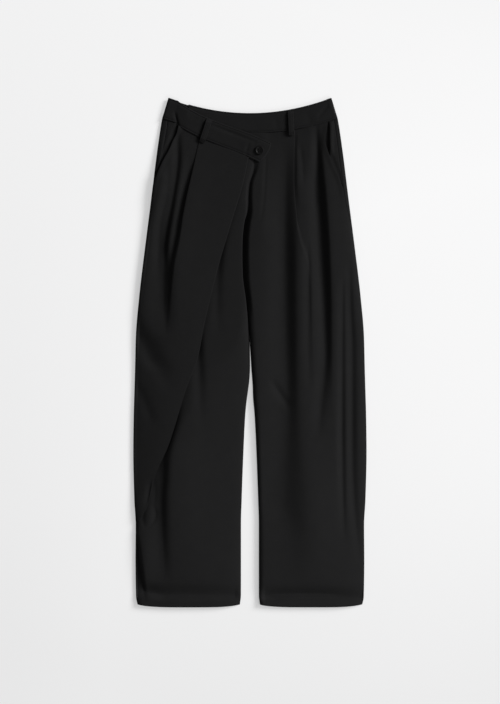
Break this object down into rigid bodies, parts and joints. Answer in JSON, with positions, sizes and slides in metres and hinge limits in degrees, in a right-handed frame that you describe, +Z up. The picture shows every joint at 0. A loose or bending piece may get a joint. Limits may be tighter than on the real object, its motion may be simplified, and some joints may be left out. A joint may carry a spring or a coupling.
{
  "type": "barrel leg trousers",
  "caption": "Wide barrel leg trousers in plain dark suiting with a wrapped, pleated front and a slanting buttoned waist tab, lying flat on their back.",
  "frame": {"origin": "on the surface the trousers lie on, under the middle of their bounding box", "axes": "+X to the wearer's left, +Y from the hems to the waist, +Z up off the surface, out of the front of the trousers"},
  "size_m": [0.4824, 1.0512, 0.0155],
  "materials": {
    "suiting": "matt black suiting in a fine twill",
    "horn": "black imitation horn, softly polished"
  },
  "bodies": {
    "root": {"back_right_leg": "suiting", "back_left_leg": "suiting", "front_right_leg": "suiting", "front_left_leg": "suiting", "wrap_panel": "suiting", "pocket_facing_right": "suiting", "pocket_facing_left": "suiting", "waistband_back": "suiting", "waistband_front": "suiting", "waistband_wrap": "suiting", "loop_front_left": "suiting", "loop_front_right": "suiting", "loop_back_right": "suiting", "loop_back_centre": "suiting", "loop_back_left": "suiting", "button": "horn"}
  },
  "joints": []
}
